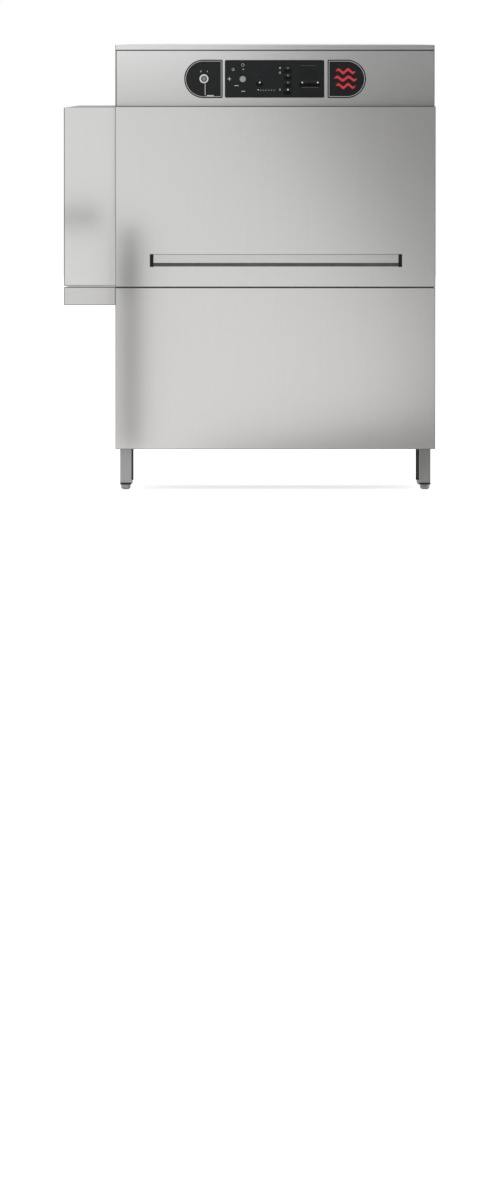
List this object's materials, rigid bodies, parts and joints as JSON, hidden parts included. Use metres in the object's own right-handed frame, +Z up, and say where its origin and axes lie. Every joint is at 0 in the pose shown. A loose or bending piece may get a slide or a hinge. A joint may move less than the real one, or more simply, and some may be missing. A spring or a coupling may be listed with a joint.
{
  "type": "conveyor dishwasher",
  "caption": "Rack conveyor dishwasher with a lift-up front door, entry hood, control fascia, rack transport with folding pawls, wash and rinse pipework and levelling feet.",
  "frame": {"origin": "centre of the whole machine's outline, on the floor", "axes": "+X the way the racks travel, +Y from the front to the back, +Z up"},
  "size_m": [1.335, 0.77, 1.606],
  "materials": {
    "satin_stainless": "satin, fine upright grain",
    "chamber_stainless": "dull rolled",
    "frame_stainless": "satin",
    "handle_aluminium": "satin",
    "dark_plastic": "matt",
    "foot_steel": "turned",
    "plate_black": "satin film",
    "tinted_window": "clear tinted",
    "button_black": "matt",
    "knob_black": "matt",
    "white_nylon": "matt",
    "strut_black": "satin",
    "bright_rod": "polished",
    "curtain_rubber": "matt",
    "drive_paint": "satin",
    "pump_paint": "satin",
    "pawl_steel": "dull",
    "booster_steel": "dull",
    "grey_pipe": "matt",
    "brass_fitting": "dull"
  },
  "bodies": {
    "cabinet": {"base_frame": "frame_stainless", "leg_inserts": "dark_plastic", "left_end_wall": "satin_stainless", "right_end_wall": "satin_stainless", "rear_panel": "satin_stainless", "chamber_liner": "chamber_stainless", "front_frame": "chamber_stainless", "fascia_panel": "satin_stainless", "top_lid": "satin_stainless", "entry_hood": "satin_stainless", "hood_drip_tray": "satin_stainless", "wash_tank": "chamber_stainless", "door_rails": "chamber_stainless", "strut_cylinders": "strut_black", "switch_plate": "plate_black", "control_plate": "plate_black", "wave_plate": "plate_black", "display_windows": "tinted_window", "rack_track": "chamber_stainless", "drive_gearmotor": "drive_paint", "curtain_rods": "bright_rod", "upper_wash_manifold": "chamber_stainless", "lower_wash_manifold": "chamber_stainless", "rinse_pipework": "chamber_stainless", "wash_pump": "pump_paint", "tank_heater": "booster_steel", "drain_outlet": "grey_pipe", "rinse_booster": "booster_steel", "water_inlet": "brass_fitting", "cable_gland": "dark_plastic"},
    "door": {"door_outer_panel": "satin_stainless", "door_inner_panel": "satin_stainless", "door_handle": "handle_aluminium", "handle_end_caps": "dark_plastic", "door_slide_blocks": "white_nylon", "strut_rods": "bright_rod"},
    "service_panel": {"lower_front_panel": "satin_stainless"},
    "front_left_foot": {"foot_front_left": "foot_steel"},
    "front_right_foot": {"foot_front_right": "foot_steel"},
    "rear_left_foot": {"foot_rear_left": "foot_steel"},
    "rear_right_foot": {"foot_rear_right": "foot_steel"},
    "main_switch": {"main_switch_knob": "knob_black"},
    "programme_selector": {"programme_knob": "knob_black"},
    "transport_frame": {"drag_frame": "chamber_stainless"},
    "rocker": {"rocker_arm": "pawl_steel"},
    "entry_pawl_pair": {"entry_pawls": "pawl_steel"},
    "centre_pawl_pair": {"centre_pawls": "pawl_steel"},
    "exit_pawl_pair": {"exit_pawls": "pawl_steel"},
    "exit_switch": {"exit_switch_lever": "white_nylon"},
    "entry_splash_curtain": {"entry_curtain": "curtain_rubber"},
    "exit_splash_curtain": {"exit_curtain": "curtain_rubber"},
    "filter": {"filter_tray": "chamber_stainless"},
    "standpipe": {"overflow_standpipe": "chamber_stainless"},
    "start_button_cap": {"start_button": "button_black"},
    "column_button_1_cap": {"column_button_1": "button_black"},
    "column_button_2_cap": {"column_button_2": "button_black"},
    "column_button_3_cap": {"column_button_3": "button_black"},
    "column_button_4_cap": {"column_button_4": "button_black"},
    "left_level_button_cap": {"left_level_button": "button_black"},
    "right_level_button_cap": {"right_level_button": "button_black"}
  },
  "joints": [
    {"name": "door_lift", "type": "slide", "parent": "cabinet", "child": "door", "axis": [0, 0, 1], "range_m": [0, 0.5]},
    {"name": "service_panel_off", "type": "slide", "parent": "cabinet", "child": "service_panel", "axis": [0, -1, 0], "range_m": [0, 0.1]},
    {"name": "front_left_foot_screw", "type": "slide", "parent": "cabinet", "child": "front_left_foot", "axis": [0, 0, -1], "range_m": [0, 0.03]},
    {"name": "front_right_foot_screw", "type": "slide", "parent": "cabinet", "child": "front_right_foot", "axis": [0, 0, -1], "range_m": [0, 0.03]},
    {"name": "rear_left_foot_screw", "type": "slide", "parent": "cabinet", "child": "rear_left_foot", "axis": [0, 0, -1], "range_m": [0, 0.03]},
    {"name": "rear_right_foot_screw", "type": "slide", "parent": "cabinet", "child": "rear_right_foot", "axis": [0, 0, -1], "range_m": [0, 0.03]},
    {"name": "main_switch_turn", "type": "hinge", "parent": "cabinet", "child": "main_switch", "pos_m": [-0.164, -0.3465, 1.4755], "axis": [0, 1, 0], "range_deg": [0, 60]},
    {"name": "programme_turn", "type": "hinge", "parent": "cabinet", "child": "programme_selector", "pos_m": [-0.0245, -0.3465, 1.4745], "axis": [0, 1, 0], "range_deg": [0, 180]},
    {"name": "start_button_press", "type": "slide", "parent": "cabinet", "child": "start_button_cap", "axis": [0, 1, 0], "range_m": [0, 0.0015], "stiffness_N_per_m": 600, "springref_m": -0.001},
    {"name": "column_button_1_press", "type": "slide", "parent": "cabinet", "child": "column_button_1_cap", "axis": [0, 1, 0], "range_m": [0, 0.0015], "stiffness_N_per_m": 600, "springref_m": -0.001},
    {"name": "column_button_2_press", "type": "slide", "parent": "cabinet", "child": "column_button_2_cap", "axis": [0, 1, 0], "range_m": [0, 0.0015], "stiffness_N_per_m": 600, "springref_m": -0.001},
    {"name": "column_button_3_press", "type": "slide", "parent": "cabinet", "child": "column_button_3_cap", "axis": [0, 1, 0], "range_m": [0, 0.0015], "stiffness_N_per_m": 600, "springref_m": -0.001},
    {"name": "column_button_4_press", "type": "slide", "parent": "cabinet", "child": "column_button_4_cap", "axis": [0, 1, 0], "range_m": [0, 0.0015], "stiffness_N_per_m": 600, "springref_m": -0.001},
    {"name": "left_level_button_press", "type": "slide", "parent": "cabinet", "child": "left_level_button_cap", "axis": [0, 1, 0], "range_m": [0, 0.0015], "stiffness_N_per_m": 600, "springref_m": -0.001},
    {"name": "right_level_button_press", "type": "slide", "parent": "cabinet", "child": "right_level_button_cap", "axis": [0, 1, 0], "range_m": [0, 0.0015], "stiffness_N_per_m": 600, "springref_m": -0.001},
    {"name": "transport_stroke", "type": "slide", "parent": "cabinet", "child": "transport_frame", "axis": [1, 0, 0], "range_m": [-0.065, 0.065]},
    {"name": "rocker_swing", "type": "hinge", "parent": "cabinet", "child": "rocker", "pos_m": [0.45, 0.3, 0.34], "axis": [0, 1, 0], "range_deg": [-8, 8]},
    {"name": "entry_pawls_fold", "type": "hinge", "parent": "transport_frame", "child": "entry_pawl_pair", "pos_m": [-0.375, 0, 0.8525], "axis": [0, 1, 0], "range_deg": [0, 60]},
    {"name": "centre_pawls_fold", "type": "hinge", "parent": "transport_frame", "child": "centre_pawl_pair", "pos_m": [0.12, 0, 0.8525], "axis": [0, 1, 0], "range_deg": [0, 60]},
    {"name": "exit_pawls_fold", "type": "hinge", "parent": "transport_frame", "child": "exit_pawl_pair", "pos_m": [0.4, 0, 0.8525], "axis": [0, 1, 0], "range_deg": [0, 60]},
    {"name": "exit_switch_tip", "type": "hinge", "parent": "cabinet", "child": "exit_switch", "pos_m": [0.6, -0.225, 0.8525], "axis": [0, 1, 0], "range_deg": [0, 40], "stiffness_Nm_per_rad": 0.3, "springref_deg": -17.19},
    {"name": "entry_curtain_swing", "type": "hinge", "parent": "cabinet", "child": "entry_splash_curtain", "pos_m": [-0.65, 0, 1.322], "axis": [0, 1, 0], "range_deg": [-40, 40]},
    {"name": "exit_curtain_swing", "type": "hinge", "parent": "cabinet", "child": "exit_splash_curtain", "pos_m": [0.636, 0, 1.298], "axis": [0, 1, 0], "range_deg": [-40, 40]},
    {"name": "filter_lift", "type": "slide", "parent": "cabinet", "child": "filter", "axis": [0, 0, 1], "range_m": [0, 0.045]},
    {"name": "standpipe_lift", "type": "slide", "parent": "cabinet", "child": "standpipe", "axis": [0, 0, 1], "range_m": [0, 0.05]}
  ],
  "couplings": [
    {"joint": "rocker_swing", "follows": "transport_stroke", "rad_per_m": 2.0833}
  ]
}
